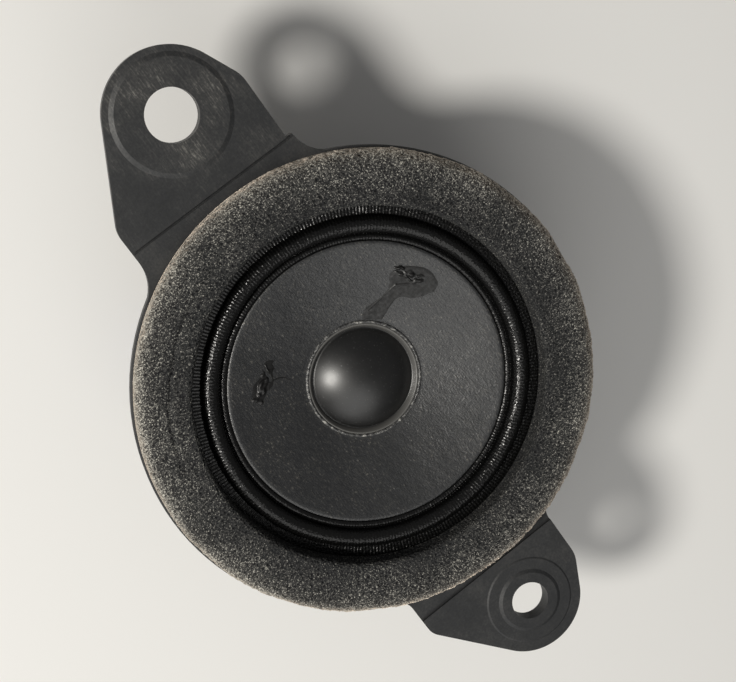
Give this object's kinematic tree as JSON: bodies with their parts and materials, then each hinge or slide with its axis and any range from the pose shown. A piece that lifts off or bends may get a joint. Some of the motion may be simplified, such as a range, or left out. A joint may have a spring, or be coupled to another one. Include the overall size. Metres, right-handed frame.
{
  "type": "car tweeter",
  "caption": "Small round paper-cone car speaker with a foam gasket, two screw ears and a rear plug socket.",
  "frame": {"origin": "centre of the collar at the back face of the flange, where the driver seats on its panel", "axes": "+Z along the cone's axis, out of the front; +Y towards the large ear; +X to the right seen from the front with the large ear up"},
  "size_m": [0.08, 0.1265, 0.034],
  "materials": {
    "basket_plastic": "moulded glass-filled plastic, fine scratches",
    "gasket_foam": "open-cell foam",
    "card": "pressed card",
    "surround_cloth": "doped woven cloth",
    "cone_paper": "dyed paper pulp",
    "cap_gloss": "satin gloss",
    "black_glue": "set black glue",
    "former_paper": "aramid paper",
    "copper_wire": "enamelled copper",
    "spider_cloth": "resin-dipped cloth",
    "ring_plastic": "moulded plastic",
    "zinc_steel": "zinc plated, satin",
    "ferrite": "sintered ferrite",
    "copper_sheet": "bare copper",
    "screw_steel": "zinc plated",
    "connector_plastic": "natural nylon",
    "tinned_brass": "tinned brass",
    "tinsel": "braided copper tinsel",
    "wire_sleeve": "insulated wire",
    "solder": "bright solder",
    "capacitor_sleeve": "shrink sleeve",
    "hot_glue": "hot-melt glue"
  },
  "bodies": {
    "frame": {"basket": "basket_plastic", "foam_gasket": "gasket_foam", "clamp_ring": "card", "surround": "surround_cloth", "spider": "spider_cloth", "spider_ring": "ring_plastic", "top_plate": "zinc_steel", "ring_magnet": "ferrite", "yoke": "zinc_steel", "shorting_cap": "copper_sheet", "motor_screws": "screw_steel", "connector_housing": "connector_plastic", "connector_screws": "screw_steel", "blade_left": "tinned_brass", "blade_right": "tinned_brass", "tinsel_lead_left": "tinsel", "tinsel_lead_right": "tinsel", "jumper_wire": "wire_sleeve", "solder_joints": "solder", "capacitor": "capacitor_sleeve", "capacitor_leads": "solder", "capacitor_glue": "hot_glue"},
    "diaphragm": {"cone": "cone_paper", "dust_cap": "cap_gloss", "neck_glue_bead": "black_glue", "coil_former": "former_paper", "coil_winding": "copper_wire", "coil_leads": "black_glue", "lead_tie_left": "black_glue", "lead_tie_right": "black_glue"}
  },
  "joints": [
    {"name": "cone_travel", "type": "slide", "parent": "frame", "child": "diaphragm", "axis": [0, 0, 1], "range_m": [-0.001, 0.001], "stiffness_N_per_m": 700, "deforming": ["surround", "spider", "tinsel_lead_left", "tinsel_lead_right"]}
  ]
}
